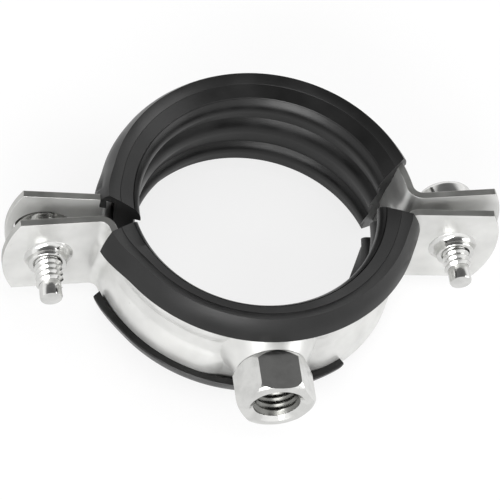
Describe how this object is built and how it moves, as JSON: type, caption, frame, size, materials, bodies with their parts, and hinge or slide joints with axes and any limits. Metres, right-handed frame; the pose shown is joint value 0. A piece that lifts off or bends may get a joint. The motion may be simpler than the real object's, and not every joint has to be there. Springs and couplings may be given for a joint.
{
  "type": "rubber lined two-piece pipe clamp with a threaded boss",
  "caption": "Two-piece zinc-plated steel pipe clamp with ribbed black rubber lining, clamp screws and a welded threaded boss, shown unfastened.",
  "frame": {"origin": "Centre of the front half's arc, on the mid-plane of the strip (the pipe axis of the front half)", "axes": "+Z is the pipe axis and points up, -Y is where the welded boss points, the ears and their screws stand along X"},
  "size_m": [0.1111, 0.0793, 0.029],
  "materials": {
    "zinc_steel": "bright zinc-plated sheet, slightly wavy and scuffed",
    "zinc_nut": "bright zinc-plated, turned chamfers",
    "zinc_screw": "bright zinc-plated, rolled thread",
    "black_rubber": "matte extruded rubber with fine scuffs"
  },
  "bodies": {
    "front_half": {"front_band": "zinc_steel", "front_liner": "black_rubber", "boss_nut": "zinc_nut"},
    "rear_half": {"rear_band": "zinc_steel", "rear_liner": "black_rubber"},
    "left_clamp_screw": {"left_screw": "zinc_screw"},
    "right_clamp_screw": {"right_screw": "zinc_screw"}
  },
  "joints": [
    {"name": "rear_half_closes", "type": "slide", "parent": "front_half", "child": "rear_half", "axis": [0, 1, 0], "range_m": [-0.0024, 0.008]},
    {"name": "right_screw_travel", "type": "slide", "parent": "rear_half", "child": "right_clamp_screw", "axis": [0, 1, 0], "range_m": [-0.0012, 0.008]},
    {"name": "left_screw_travel", "type": "slide", "parent": "front_half", "child": "left_clamp_screw", "axis": [0, 1, 0], "range_m": [-0.0048, 0.009]}
  ]
}
